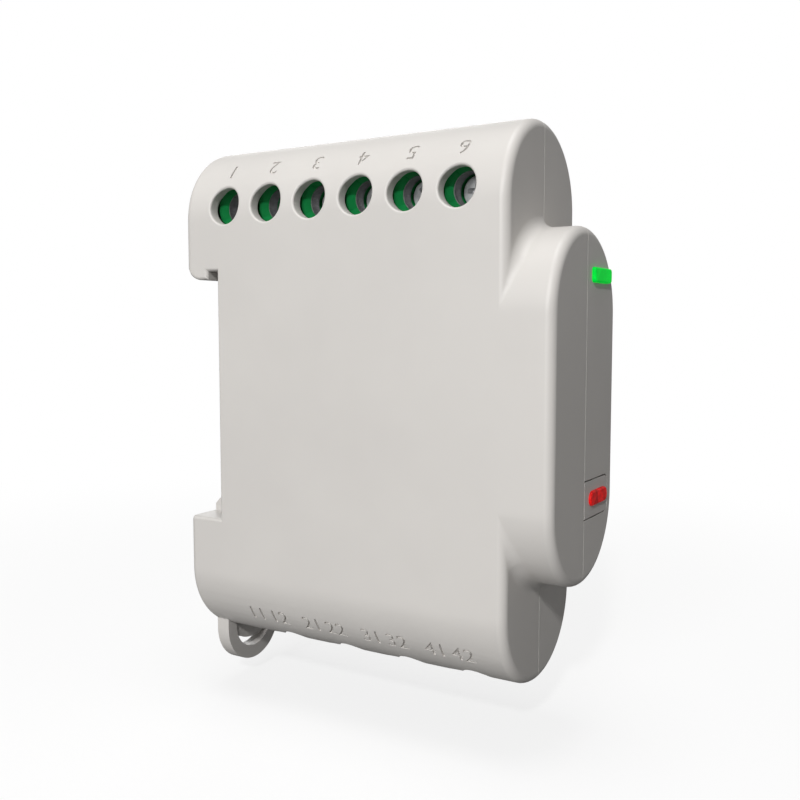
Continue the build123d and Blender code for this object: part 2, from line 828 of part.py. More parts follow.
# Red light pipe carried in the button
with BuildPart() as red_light_pipe:
    with BuildSketch(Plane.XZ.offset(-nose_y + red_proud)):
        with Locations((light_x, button_z)):
            SlotOverall(light_width, light_height)
    extrude(amount=-lens_seat_depth - red_proud)
    fillet(red_light_pipe.faces().sort_by(Axis.Y)[0].edges(), light_corner / 2)
    with BuildSketch(Plane.XZ.offset(-lens_back)):
        with Locations((red_led_x, button_z)):
            Rectangle(stem_size, stem_size)
    extrude(amount=lens_back - red_pipe_end)
red_light_pipe.part.label = "red_light_pipe"
export_step(red_light_pipe.part, "parts/red_light_pipe.step")

# Side push switch behind the button
with BuildPart() as push_switch:
    with BuildSketch(Plane.YZ.offset(board_near)):
        with Locations((board_front + switch_depth / 2, button_z)):
            Rectangle(switch_depth, switch_width)
    extrude(amount=-switch_height)
    with BuildSketch(Plane.XZ.offset(-board_front)):
        with Locations((switch_x, button_z)):
            Circle(plunger_radius + plunger_clearance)
    extrude(amount=-plunger_root - button_travel - plunger_clearance, mode=Mode.SUBTRACT)
push_switch.part.label = "push_switch"
export_step(push_switch.part, "parts/push_switch.step")

with BuildPart() as switch_plunger:
    with BuildSketch(Plane.XZ.offset(-plunger_tip)):
        with Locations((switch_x, button_z)):
            Circle(plunger_radius)
    extrude(amount=-plunger_length - plunger_root)
switch_plunger.part.label = "switch_plunger"
export_step(switch_plunger.part, "parts/switch_plunger.step")

# Light emitting diodes at the front edge of the board, one on each face
for led_name, face_x, rise, led_z in (
    ("power_diode", board_near, -led_height, green_z),
    ("status_diode", board_far, led_height, button_z),
):
    with BuildPart() as diode:
        with BuildSketch(Plane.YZ.offset(face_x)):
            with Locations((board_front + led_length / 2, led_z)):
                Rectangle(led_length, led_width)
        extrude(amount=rise)
    diode.part.label = led_name
    export_step(diode.part, f"parts/{led_name}.step")


# A boxed component on the near face of the board, with its upright edges rounded
def boxed_part(name, size, y, z, rounding=part_round):
    height, depth, rise = size
    with BuildPart() as component:
        with BuildSketch(Plane.YZ.offset(board_near)):
            with Locations((y, z)):
                Rectangle(depth, rise)
        extrude(amount=-height)
        fillet(component.edges().filter_by(Axis.X), rounding)
    component.part.label = name
    export_step(component.part, f"parts/{name}.step")


# Places on the board, each worked out from its neighbour
relay_size = (board_near - near_x - wall - relay_gap, *relay_footprint)
relay_y = seat_peg_y - boss_radius - part_gap - relay_size[1] / 2
relay_z = block_bottom - part_gap - relay_size[2] / 2
core_y = relay_y - (relay_size[1] + core_size[1]) / 2 - part_gap
core_z = block_bottom - part_gap - core_size[2] / 2
bulk_y = core_y - core_size[1] / 2 - part_gap - bulk_radius
bulk_high_z = block_bottom - part_gap - bulk_radius
bulk_low_z = bulk_high_z - 2 * bulk_radius - part_gap
fuse_y = bulk_y - bulk_radius - part_gap - fuse_radius
fuse_z = block_bottom - part_gap - fuse_lead - fuse_length / 2
choke_z = core_z - core_size[2] / 2 - part_gap - choke_radius
film_z = bulk_low_z - bulk_radius - part_gap - film_size[2] / 2
varistor_y = board_front + part_gap / 2 + varistor_thickness / 2
varistor_z = fuse_z - fuse_length / 2 - fuse_lead - part_gap - varistor_radius
radio_y = board_front + switch_depth + part_gap + radio_size[1] / 2
radio_z = port_top + part_gap + radio_size[2] / 2
chip_y = radio_y + (radio_size[1] + chip_size[1]) / 2 + part_gap
crystal_y = chip_y + (chip_size[1] + crystal_size[1]) / 2 + part_gap

boxed_part("relay", relay_size, relay_y, relay_z)
boxed_part("film_capacitor", film_size, bulk_y, film_z)
boxed_part("metering_chip", chip_size, chip_y, radio_z, rounding=part_round / 2)
boxed_part("crystal", crystal_size, crystal_y, radio_z)
boxed_part("radio_board", radio_size, radio_y, radio_z, rounding=part_round / 2)

# Screening can of the radio
with BuildPart() as radio_shield:
    can_y = radio_y + (radio_size[1] - shield_size[1]) / 2 - shield_edge
    with BuildSketch(Plane.YZ.offset(board_near - radio_size[0])):
        with Locations((can_y, radio_z)):
            Rectangle(shield_size[1], shield_size[2])
    extrude(amount=-shield_size[0])
    fillet(radio_shield.edges().filter_by(Axis.X), part_round)
radio_shield.part.label = "radio_shield"
export_step(radio_shield.part, "parts/radio_shield.step")

# Ferrite core of the power transformer, a frame round the winding
with BuildPart() as transformer_core:
    with BuildSketch(Plane.YZ.offset(board_near)):
        with Locations((core_y, core_z)):
            Rectangle(core_size[1], core_size[2])
            Rectangle(core_window[0], core_window[1], mode=Mode.SUBTRACT)
    extrude(amount=-core_size[0])
transformer_core.part.label = "transformer_core"
export_step(transformer_core.part, "parts/transformer_core.step")

boxed_part("transformer_winding", bobbin_size, core_y, core_z)

# Electrolytic capacitors
with BuildPart() as bulk_capacitors:
    with BuildSketch(Plane.YZ.offset(board_near)):
        with Locations((bulk_y, bulk_high_z), (bulk_y, bulk_low_z)):
            Circle(bulk_radius)
    extrude(amount=-bulk_height)
    fillet(bulk_capacitors.faces().filter_by(Axis.X).edges(), bulk_rim)
bulk_capacitors.part.label = "bulk_capacitors"
export_step(bulk_capacitors.part, "parts/bulk_capacitors.step")

# Fusible resistor lying on the board
with BuildPart() as fusible_resistor:
    with BuildSketch(Plane.XY.offset(fuse_z - fuse_length / 2)):
        with Locations((board_near - fuse_radius, fuse_y)):
            Circle(fuse_radius)
    extrude(amount=fuse_length)
    fillet(fusible_resistor.edges(), part_round)
    with BuildSketch(Plane.XY.offset(fuse_z - fuse_length / 2 - fuse_lead)):
        with Locations((board_near - fuse_radius, fuse_y)):
            Circle(lead_radius)
    extrude(amount=fuse_length + 2 * fuse_lead)
fusible_resistor.part.label = "fusible_resistor"
export_step(fusible_resistor.part, "parts/fusible_resistor.step")

# Drum choke with two flanges
with BuildPart() as choke:
    for start, length, radius in (
        (board_near, choke_flange, choke_radius),
        (board_near - choke_flange, choke_height - 2 * choke_flange, choke_neck),
        (board_near - choke_height + choke_flange, choke_flange, choke_radius),
    ):
        with BuildSketch(Plane.YZ.offset(start)):
            with Locations((core_y, choke_z)):
                Circle(radius)
        extrude(amount=-length)
choke.part.label = "choke"
export_step(choke.part, "parts/choke.step")

# Varistor disc standing on its two leads
varistor_x = board_near - varistor_lift - varistor_radius
varistor_lead_start = along_x(
    varistor_x, board_near, varistor_y, varistor_z + varistor_radius / 2, lead_radius
)
varistor_lead_end = along_x(
    varistor_x, board_near, varistor_y, varistor_z - varistor_radius / 2, lead_radius
)
with BuildPart() as varistor:
    with BuildSketch(Plane.XZ.offset(-varistor_y - varistor_thickness / 2)):
        with Locations((varistor_x, varistor_z)):
            Circle(varistor_radius)
    extrude(amount=varistor_thickness)
    fillet(varistor.edges().filter_by(GeomType.CIRCLE), 2 * part_round)
    add(varistor_lead_start)
    add(varistor_lead_end)
varistor.part.label = "varistor"
export_step(varistor.part, "parts/varistor.step")


# Small chip resistors on the far face of the board, as a group of separate solids
def chip_resistors(name, size, spots):
    height, depth, rise = size
    with BuildPart() as resistors:
        with BuildSketch(Plane.YZ.offset(board_far)):
            with Locations(spots):
                Rectangle(depth, rise)
        extrude(amount=height)
    resistors.part.label = name
    export_step(resistors.part, f"parts/{name}.step")


burden_z = port_top - burden_drop
divider_columns = pole_spots[2:5]
divider_spots = [
    (y, divider_top - divider_pitch * row) for y in divider_columns for row in range(divider_rows)
]
chip_resistors("burden_resistors", burden_size, [(y, burden_z) for y in release_spots])
chip_resistors("divider_resistors", divider_size, divider_spots)
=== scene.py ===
import json
import math

import bmesh
import bpy
from mathutils import Matrix, Vector


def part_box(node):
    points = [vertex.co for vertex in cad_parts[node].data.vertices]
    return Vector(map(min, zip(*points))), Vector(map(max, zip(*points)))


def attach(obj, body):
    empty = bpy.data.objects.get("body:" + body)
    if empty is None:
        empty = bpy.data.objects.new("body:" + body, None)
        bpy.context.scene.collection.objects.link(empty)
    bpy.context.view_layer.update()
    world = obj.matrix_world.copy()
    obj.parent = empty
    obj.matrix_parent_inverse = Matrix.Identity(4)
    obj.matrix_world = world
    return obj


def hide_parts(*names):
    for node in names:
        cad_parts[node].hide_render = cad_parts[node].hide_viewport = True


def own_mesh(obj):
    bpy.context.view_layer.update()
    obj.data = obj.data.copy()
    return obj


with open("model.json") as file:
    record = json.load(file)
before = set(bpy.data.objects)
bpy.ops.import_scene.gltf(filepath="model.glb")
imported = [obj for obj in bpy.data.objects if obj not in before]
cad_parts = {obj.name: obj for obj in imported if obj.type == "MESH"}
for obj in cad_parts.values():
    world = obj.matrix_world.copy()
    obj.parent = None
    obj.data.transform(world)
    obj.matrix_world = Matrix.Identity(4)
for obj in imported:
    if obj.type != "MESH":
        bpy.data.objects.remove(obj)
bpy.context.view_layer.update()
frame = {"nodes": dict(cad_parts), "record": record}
nodes = frame["nodes"]
scene = bpy.context.scene
mm = 0.001
white = (1, 1, 1, 1)
print("frame loaded:", len(nodes), "nodes")


# Mesh helpers

meshRules = {
    "weld": 0.001,
    "shadingWeld": 0.002,
    "blendAngle": 32.0,
    "cutterPast": 1.0,
    "circleSides": 64,
}


def meshObject(name, form):
    mesh = bpy.data.meshes.new(name)
    form.to_mesh(mesh)
    form.free()
    made = bpy.data.objects.new(name, mesh)
    scene.collection.objects.link(made)
    return made


def bakeModifiers(piece):
    graph = bpy.context.evaluated_depsgraph_get()
    mesh = bpy.data.meshes.new_from_object(piece.evaluated_get(graph))
    piece.modifiers.clear()
    piece.data = mesh


def softenShading(piece, angle=meshRules["blendAngle"]):  # blends a corner's faces that lie within the angle
    form = bmesh.new()
    form.from_mesh(piece.data)
    weld = meshRules["shadingWeld"] * mm
    bmesh.ops.remove_doubles(form, verts=form.verts, dist=weld)
    bmesh.ops.dissolve_degenerate(form, edges=form.edges, dist=weld)
    form.normal_update()
    areas = {face: face.calc_area() for face in form.faces}
    limit = math.cos(math.radians(angle))
    normals = []
    for face in form.faces:
        for vert in face.verts:
            total = Vector()
            for other in vert.link_faces:
                if other.normal.dot(face.normal) > limit:
                    total += other.normal * areas[other]
            normals.append(total.normalized() if total.length else face.normal.copy())
    form.to_mesh(piece.data)
    form.free()
    for label in ("custom_normal", "sharp_edge", "sharp_face"):
        old = piece.data.attributes.get(label)
        if old:
            piece.data.attributes.remove(old)
    piece.data.shade_smooth()
    piece.data.normals_split_custom_set(normals)


def carve(piece, cutter, operation="DIFFERENCE"):
    cut = piece.modifiers.new("carve", "BOOLEAN")
    cut.operation = operation
    cut.solver = "EXACT"
    cut.object = cutter
    bakeModifiers(piece)
    bpy.data.objects.remove(cutter)


def joinForms(forms):  # several closed forms as one bmesh; the forms given are freed
    whole = bmesh.new()
    for form in forms:
        mesh = bpy.data.meshes.new("form")
        form.to_mesh(mesh)
        form.free()
        whole.from_mesh(mesh)
        bpy.data.meshes.remove(mesh)
    return whole


def ringForm(rings):  # a skin through rings of points, with its two ends closed
    form = bmesh.new()
    loops = [[form.verts.new(point) for point in ring] for ring in rings]
    count = len(loops[0])
    for a, b in zip(loops, loops[1:]):
        for i in range(count):
            j = (i + 1) % count
            form.faces.new((a[i], a[j], b[j], b[i]))
    form.faces.new(loops[0])
    form.faces.new(loops[-1])
    bmesh.ops.recalc_face_normals(form, faces=form.faces)
    return form


def circlePoints(centre, radius, normal, side, count):
    turns = [2 * math.pi * k / count for k in range(count)]
    return [centre + radius * (math.cos(t) * normal + math.sin(t) * side) for t in turns]


def tubeForm(path, radius, sides):  # a round wire along a path, twisted as little as possible
    normal = None
    rings = []
    for i, point in enumerate(path):
        ahead = path[min(i + 1, len(path) - 1)] - path[max(i - 1, 0)]
        ahead.normalize()
        if normal is None:
            normal = ahead.orthogonal().normalized()
        normal = (normal - ahead * normal.dot(ahead)).normalized()
        rings.append(circlePoints(point, radius, normal, ahead.cross(normal), sides))
    return ringForm(rings)


def turnedForm(profile, centre, axis, sides=meshRules["circleSides"]):  # from (way along, radius) pairs
    axis = Vector(axis).normalized()
    normal = axis.orthogonal().normalized()
    side = axis.cross(normal)
    foot = Vector(centre)
    return ringForm([circlePoints(foot + axis * along, r, normal, side, sides) for along, r in profile])


def copyOf(node, name):  # the CAD node's form as a new object, welded so that it can be cut
    form = bmesh.new()
    form.from_mesh(nodes[node].data)
    bmesh.ops.remove_doubles(form, verts=form.verts, dist=meshRules["weld"] * mm)
    return meshObject(name, form)


# Surface effects as node groups

noiseShare = {"tone": (0.36, 0.64), "streak": (0.12, 0.42), "middle": 0.5}
mixSockets = {"factor": 0, "a": 6, "b": 7, "result": 2}  # the places of a mix node's colour sockets


def addNode(tree, kind, settings=(), **inputs):
    made = tree.nodes.new(kind)
    for key, value in dict(settings).items():
        setattr(made, key, value)
    for key, value in inputs.items():
        made.inputs[key].default_value = value
    return made


def newGroup(name, wanted, given):
    group = bpy.data.node_groups.new(name, "ShaderNodeTree")
    kinds = {"colour": "NodeSocketColor", "value": "NodeSocketFloat", "vector": "NodeSocketVector"}
    for way, sockets in (("INPUT", wanted), ("OUTPUT", given)):
        for label, kind in sockets:
            group.interface.new_socket(name=label, in_out=way, socket_type=kinds[kind])
    return group, group.nodes.new("NodeGroupInput"), group.nodes.new("NodeGroupOutput")


def shareNode(tree, source, limits):  # a noise's range between the limits, as a share from 0 to 1
    low, high = limits
    share = addNode(tree, "ShaderNodeMapRange", **{"From Min": low, "From Max": high})
    tree.links.new(source, share.inputs["Value"])
    return share.outputs["Result"]


def spreadNode(group, noise, entry):  # roughness that follows the noise round its middle value
    centred = addNode(group, "ShaderNodeMath", {"operation": "SUBTRACT"})
    group.links.new(noise.outputs[0], centred.inputs[0])
    centred.inputs[1].default_value = noiseShare["middle"]
    rough = addNode(group, "ShaderNodeMath", {"operation": "MULTIPLY_ADD"})
    group.links.new(centred.outputs[0], rough.inputs[0])
    group.links.new(entry.outputs["Spread"], rough.inputs[1])
    group.links.new(entry.outputs["Roughness"], rough.inputs[2])
    return rough.outputs[0]


def mixNode(tree, factor, a, b):  # a blend of two colour sockets
    mix = addNode(tree, "ShaderNodeMix", {"data_type": "RGBA"})
    for label, source in (("factor", factor), ("a", a), ("b", b)):
        tree.links.new(source, mix.inputs[mixSockets[label]])
    return mix.outputs[mixSockets["result"]]


def mouldedGroup():  # fine spark-eroded grain over slow changes of tone
    wanted = [
        ("Colour", "colour"), ("Shade", "colour"), ("Tone Scale", "value"),
        ("Grain Scale", "value"), ("Roughness", "value"), ("Spread", "value"),
    ]
    given = [("Colour", "colour"), ("Roughness", "value"), ("Height", "value")]
    group, entry, out = newGroup("mouldedSurface", wanted, given)
    link = group.links.new
    place = addNode(group, "ShaderNodeTexCoord")
    tone = addNode(group, "ShaderNodeTexNoise", Detail=3.0, Roughness=0.55)
    link(place.outputs["Object"], tone.inputs["Vector"])
    link(entry.outputs["Tone Scale"], tone.inputs["Scale"])
    share = shareNode(group, tone.outputs[0], noiseShare["tone"])
    link(mixNode(group, share, entry.outputs["Colour"], entry.outputs["Shade"]), out.inputs["Colour"])
    grain = addNode(group, "ShaderNodeTexNoise", Detail=2.0, Roughness=0.6)
    link(place.outputs["Object"], grain.inputs["Vector"])
    link(entry.outputs["Grain Scale"], grain.inputs["Scale"])
    link(spreadNode(group, grain, entry), out.inputs["Roughness"])
    link(grain.outputs[0], out.inputs["Height"])
    return group


def metalGroup():  # drawn or rolled metal: streaks along one direction over dull patches
    wanted = [
        ("Colour", "colour"), ("Shade", "colour"), ("Stretch", "vector"),
        ("Patch Scale", "value"), ("Roughness", "value"), ("Spread", "value"),
    ]
    given = [("Colour", "colour"), ("Roughness", "value"), ("Height", "value")]
    group, entry, out = newGroup("metalSurface", wanted, given)
    link = group.links.new
    place = addNode(group, "ShaderNodeTexCoord")
    scaled = addNode(group, "ShaderNodeVectorMath", {"operation": "MULTIPLY"})
    link(place.outputs["Object"], scaled.inputs[0])
    link(entry.outputs["Stretch"], scaled.inputs[1])
    streak = addNode(group, "ShaderNodeTexNoise", Scale=1.0, Detail=3.0, Roughness=0.65)
    link(scaled.outputs["Vector"], streak.inputs["Vector"])
    patch = addNode(group, "ShaderNodeTexNoise", Detail=3.0, Roughness=0.6)
    link(place.outputs["Object"], patch.inputs["Vector"])
    link(entry.outputs["Patch Scale"], patch.inputs["Scale"])
    both = addNode(group, "ShaderNodeMath", {"operation": "MULTIPLY"})
    link(streak.outputs[0], both.inputs[0])
    link(patch.outputs[0], both.inputs[1])
    share = shareNode(group, both.outputs[0], noiseShare["streak"])
    link(mixNode(group, share, entry.outputs["Shade"], entry.outputs["Colour"]), out.inputs["Colour"])
    link(spreadNode(group, streak, entry), out.inputs["Roughness"])
    link(streak.outputs[0], out.inputs["Height"])
    return group


groups = {"moulded": mouldedGroup(), "metal": metalGroup()}
plainFinish = {  # what a finish has where it says nothing else
    "spread": 0.1,
    "toneScale": 120.0,
    "grainScale": 3500.0,
    "stretch": (600, 600, 9000),
    "patchScale": 500.0,
    "metal": 1.0,
    "bump": 0.3,
    "depth": 0.02,
    "coat": 0.0,
    "coatRough": 0.1,
    "specular": 0.5,
}


def newMaterial(name):
    material = bpy.data.materials.new(name)
    material.use_nodes = True
    tree = material.node_tree
    return material, tree, tree.nodes["Principled BSDF"]


def wear(obj, material):
    obj.data.materials.clear()
    obj.data.materials.append(material)


def surfaceMaterial(name, kind, ownFinish):  # one shader fed by a surface group with the finish's own values
    finish = {**plainFinish, **ownFinish}
    material, tree, shader = newMaterial(name)
    surface = addNode(tree, "ShaderNodeGroup", {"node_tree": groups[kind]})
    surface.inputs["Colour"].default_value = (*finish["colour"], 1)
    surface.inputs["Shade"].default_value = (*finish["shade"], 1)
    surface.inputs["Roughness"].default_value = finish["rough"]
    surface.inputs["Spread"].default_value = finish["spread"]
    if kind == "moulded":
        surface.inputs["Tone Scale"].default_value = finish["toneScale"]
        surface.inputs["Grain Scale"].default_value = finish["grainScale"]
    else:
        surface.inputs["Stretch"].default_value = finish["stretch"]
        surface.inputs["Patch Scale"].default_value = finish["patchScale"]
        shader.inputs["Metallic"].default_value = finish["metal"]
    tree.links.new(surface.outputs["Colour"], shader.inputs["Base Color"])
    tree.links.new(surface.outputs["Roughness"], shader.inputs["Roughness"])
    bump = addNode(tree, "ShaderNodeBump", Strength=finish["bump"], Distance=finish["depth"] * mm)
    tree.links.new(surface.outputs["Height"], bump.inputs["Height"])
    tree.links.new(bump.outputs["Normal"], shader.inputs["Normal"])
    shader.inputs["Coat Weight"].default_value = finish["coat"]
    shader.inputs["Coat Roughness"].default_value = finish["coatRough"]
    shader.inputs["Specular IOR Level"].default_value = finish["specular"]
    return material


bodyOf = {node: body for body, held in frame["record"]["behaviour"]["bodies"].items() for node in held}


def standIn(piece, node, material):  # the piece takes the CAD node's place
    wear(piece, material)
    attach(piece, bodyOf[node])
    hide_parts(node)


print("surface groups built")


# Case halves, with the parting groove, the rounded rail notch and the plain numbers at the terminals

caseFinish = {
    "colour": (0.630, 0.607, 0.578), "shade": (0.606, 0.583, 0.556), "toneScale": 45.0,
    "grainScale": 2600.0, "rough": 0.46, "spread": 0.10, "bump": 0.10, "depth": 0.03,
}
plastic = surfaceMaterial("casePlastic", "moulded", caseFinish)

caseShape = {
    "edgeRound": 1.2,
    "noseDepth": 6.0,
    "noseHeight": 46.0,
    "rootRound": 0.9,
    "notchTop": 18.6,
    "notchBottom": -18.4,
    "grooveHalfWidth": 0.08,
    "grooveDepth": 0.08,
    "grooveOut": 0.3,
    "groovePast": 0.25,
    "arcSteps": 8,
}
notchEdge = {
    "round": 0.5,
    "profile": 0.5,
    "steps": 4,
    "across": 9.9,
    "low": -18.7,
    "high": 20.2,
    "slack": 0.05,
    "sharp": 50,
    "flat": 0.1,
}
cableRelief = {"radius": 2.0, "across": -4.5, "forward": 1.8, "top": -34.35, "sides": 40}
caseNumbers = {
    "size": 3.5,
    "depth": 0.32,
    "out": 0.3,
    "resolution": 4,
    "topHeight": 32.75,
    "topWords": ["1", "2", "3", "4", "5", "6"],
    "firstPole": -1.5,
    "polePitch": 7.5,
    "bottomHeight": -31.8,
    "bottomWords": ["11", "12", "21", "22", "31", "32", "41", "42"],
    "firstPort": -7.5,
    "portPitch": 10.0,
    "portHalfPitch": 2.0,
}
terminals, ports, releases = range(1, 7), range(1, 5), range(1, 9)
poleSpots = [caseNumbers["firstPole"] - caseNumbers["polePitch"] * i for i in range(len(terminals))]
portSpots = [caseNumbers["firstPort"] - caseNumbers["portPitch"] * i for i in range(len(ports))]


def roundedPath(corners, steps):  # (Y, Z, radius) corners to (point, outward normal) pairs in mm
    spots = [(Vector((y, z)), r) for y, z, r in corners]
    made = []
    for i, (corner, r) in enumerate(spots):
        before = (corner - spots[i - 1][0]).normalized() if i else None
        after = (spots[i + 1][0] - corner).normalized() if i + 1 < len(spots) else None
        if before is None or after is None:
            along = before or after
            made.append((corner, Vector((along.y, -along.x))))
            continue
        bend = before.x * after.y - before.y * after.x
        side = 1 if bend > 0 else -1
        centre = corner + (after - before) * r
        first = Vector((before.y, -before.x))
        last = Vector((after.y, -after.x))
        for k in range(steps + 1):
            share = k / steps * math.pi / 2
            normal = first * math.cos(share) + last * math.sin(share)
            made.append((centre + side * normal * r, normal))
    return made


def grooveForm(side):  # bevels one half's edge at the parting line, from the hook over the front to the lug
    low, high = (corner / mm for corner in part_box("near_shell"))
    back, top, nose = high.y, high.z, low.y
    front = nose + caseShape["noseDepth"]
    noseTop = caseShape["noseHeight"] / 2
    edge, root = caseShape["edgeRound"], caseShape["rootRound"]
    corners = [
        (back, caseShape["notchTop"], 0), (back, top, edge), (front, top, edge), (front, noseTop, root),
        (nose, noseTop, edge), (nose, -noseTop, edge), (front, -noseTop, root), (front, -top, edge),
        (back, -top, edge), (back, caseShape["notchBottom"], 0),
    ]
    depth, out, past = caseShape["grooveDepth"], caseShape["grooveOut"], caseShape["groovePast"]
    slope = depth / caseShape["grooveHalfWidth"]
    rings = []
    for point, normal in roundedPath(corners, caseShape["arcSteps"]):
        foot, lip = point - normal * (depth + past * slope), point + normal * out
        ring = [(past, foot), (-(depth + out) / slope, lip), (past, lip)]
        rings.append([Vector((-side * x, spot.x, spot.y)) * mm for x, spot in ring])
    return ringForm(rings)


def numberForm(word, spot, outward, upright):  # closed letters that reach from above the surface into it
    curve = bpy.data.curves.new("number", "FONT")
    curve.body = word
    curve.align_x = "CENTER"
    curve.align_y = "CENTER"
    curve.size = caseNumbers["size"] * mm
    depth, out = caseNumbers["depth"], caseNumbers["out"]
    curve.extrude = (depth + out) / 2 * mm
    curve.resolution_u = caseNumbers["resolution"]
    holder = bpy.data.objects.new("number", curve)
    scene.collection.objects.link(holder)
    bpy.context.view_layer.update()
    mesh = bpy.data.meshes.new_from_object(holder)
    bpy.data.objects.remove(holder)
    form = bmesh.new()
    form.from_mesh(mesh)
    bmesh.ops.remove_doubles(form, verts=form.verts, dist=meshRules["weld"] * mm)
    across = upright.cross(outward)
    turn = Matrix((across, upright, outward)).transposed().to_4x4()
    middle = spot + outward * (out - depth) / 2 * mm
    bmesh.ops.transform(form, verts=form.verts, matrix=Matrix.Translation(middle) @ turn)
    bmesh.ops.recalc_face_normals(form, faces=form.faces)
    return form


def capSpot(height):  # X and outward direction on the near side's rounded end, at a height in mm
    low, high = (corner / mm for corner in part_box("near_shell"))
    radius = -low.x
    rise = height - math.copysign(high.z - radius, height)
    across = -math.sqrt(radius**2 - rise**2)
    outward = Vector((across, 0, rise)) / radius
    return across, outward


def numberForms():  # the row above the access holes stands upside down, the row above the ports upright
    wireSpots = [y + s * caseNumbers["portHalfPitch"] for y in portSpots for s in (1, -1)]
    rows = [
        (caseNumbers["topHeight"], caseNumbers["topWords"], poleSpots, -1),
        (caseNumbers["bottomHeight"], caseNumbers["bottomWords"], wireSpots, 1),
    ]
    forms = []
    for height, words, spots, rising in rows:
        across, outward = capSpot(height)
        upright = outward.cross(Vector((0, 1, 0)))
        if upright.z * rising < 0:
            upright = -upright
        for word, y in zip(words, spots):
            forms.append(numberForm(word, Vector((across, y, height)) * mm, outward, upright))
    return forms


def reliefForm(y):  # shallow notch that lets a cable bend away from its opening in the underside
    radius = cableRelief["radius"] * mm
    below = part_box("near_shell")[0].z - meshRules["cutterPast"] * mm
    height = cableRelief["top"] * mm - below
    foot = Vector((cableRelief["across"] * mm, y * mm, below))
    return turnedForm([(0, radius), (height, radius)], foot, (0, 0, 1), cableRelief["sides"])


def atNotch(spot):  # whether a point lies on the rail notch's outline, on either flat side
    across, back = notchEdge["across"] * mm, -notchEdge["slack"] * mm
    return abs(spot.x) > across and spot.y > back and notchEdge["low"] * mm < spot.z < notchEdge["high"] * mm


def roundNotch(piece):  # rounds the outer edges of the rail notch
    form = bmesh.new()
    form.from_mesh(piece.data)
    flat, sharp = math.radians(notchEdge["flat"]), math.radians(notchEdge["sharp"])
    bmesh.ops.dissolve_limit(form, angle_limit=flat, verts=form.verts, edges=form.edges)
    near = [edge for edge in form.edges if all(atNotch(vert.co) for vert in edge.verts)]
    chosen = [edge for edge in near if edge.is_manifold and edge.calc_face_angle() > sharp]
    size, steps, profile = notchEdge["round"] * mm, notchEdge["steps"], notchEdge["profile"]
    bmesh.ops.bevel(form, geom=chosen, offset=size, segments=steps, profile=profile, affect="EDGES")
    form.to_mesh(piece.data)
    form.free()


def makeCaseHalves():
    near = copyOf("near_shell", "case_near_half")
    roundNotch(near)
    reliefs = [reliefForm(y - cableRelief["forward"]) for y in portSpots]
    carve(near, meshObject("cutter", grooveForm(-1)))
    carve(near, meshObject("cutter", joinForms([*reliefs, *numberForms()])))
    far = copyOf("far_shell", "case_far_half")
    roundNotch(far)
    carve(far, meshObject("cutter", grooveForm(1)))
    for half, node in ((near, "near_shell"), (far, "far_shell")):
        softenShading(half)
        standIn(half, node, plastic)


makeCaseHalves()
print("case halves done")


# Rail latch and its spring

latchFinish = {
    "colour": (0.615, 0.592, 0.566), "shade": (0.590, 0.568, 0.543), "toneScale": 80.0,
    "grainScale": 2600.0, "rough": 0.44, "spread": 0.10, "bump": 0.10, "depth": 0.03,
}
latchRing = {
    "centre": -36.4,
    "hole": 4.2,
    "front": 3.35,
    "back": 5.1,
    "tabHalfWidth": 4.6,
    "tabTop": -33.5,
    "tabBottom": -39.2,
    "tabRadius": 6.5,
    "tabSteps": 24,
}


def tabForm():  # web that fills the upper part of the ring's hole, with a rounded lower edge
    half, radius = latchRing["tabHalfWidth"], latchRing["tabRadius"]
    centre = latchRing["tabBottom"] + radius
    edge = [(half, latchRing["tabTop"]), (-half, latchRing["tabTop"])]
    for k in range(latchRing["tabSteps"] + 1):
        x = half * (2 * k / latchRing["tabSteps"] - 1)
        edge.append((x, centre - math.sqrt(radius**2 - x**2)))
    faces = (latchRing["front"], latchRing["back"])
    return ringForm([[Vector((x, y, z)) * mm for x, z in edge] for y in faces])


def holeForm():
    radius, past = latchRing["hole"] * mm, meshRules["cutterPast"] * mm
    low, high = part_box("din_latch")
    start = Vector((0, low.y - past, latchRing["centre"] * mm))
    return turnedForm([(0, radius), (high.y - low.y + 2 * past, radius)], start, (0, 1, 0))


def makeLatch():
    latch = copyOf("din_latch", "rail_latch")
    carve(latch, meshObject("cutter", holeForm()))
    carve(latch, meshObject("web", tabForm()), "UNION")
    softenShading(latch)
    standIn(latch, "din_latch", surfaceMaterial("latchPlastic", "moulded", latchFinish))


makeLatch()

springWire = {
    "radius": 0.2,
    "sides": 10,
    "turns": 8.0,
    "endTurns": 1.0,
    "perTurn": 20,
    "pressed": 2.5,
    "blendAngle": 60,
}
springFinish = {
    "colour": (0.56, 0.56, 0.57), "shade": (0.34, 0.34, 0.36), "rough": 0.30, "spread": 0.16,
    "stretch": (2500, 2500, 400), "bump": 0.2, "depth": 0.01,
}


def coilRise(share, length):  # height of the wire's middle, with closed turns at both ends
    ends = springWire["endTurns"] / springWire["turns"]
    endRise = 2 * springWire["radius"] * mm * springWire["endTurns"]
    if share < ends:
        return endRise * share / ends
    if share > 1 - ends:
        return length - endRise * (1 - share) / ends
    return endRise + (length - 2 * endRise) * (share - ends) / (1 - 2 * ends)


def makeLatchSpring():
    low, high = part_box("latch_spring")
    wire = springWire["radius"] * mm
    radius = (high.x - low.x) / 2 - wire
    centre = (low + high) / 2
    count = int(springWire["turns"] * springWire["perTurn"])
    length = high.z - low.z - 2 * wire
    path = []
    for k in range(count + 1):
        share = k / count
        turn = 2 * math.pi * springWire["turns"] * share
        x, y = centre.x + radius * math.cos(turn), centre.y + radius * math.sin(turn)
        path.append(Vector((x, y, low.z + wire + coilRise(share, length))))
    spring = meshObject("latch_coil", tubeForm(path, wire, springWire["sides"]))
    softenShading(spring, springWire["blendAngle"])
    standIn(spring, "latch_spring", surfaceMaterial("springSteel", "metal", springFinish))
    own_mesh(spring)


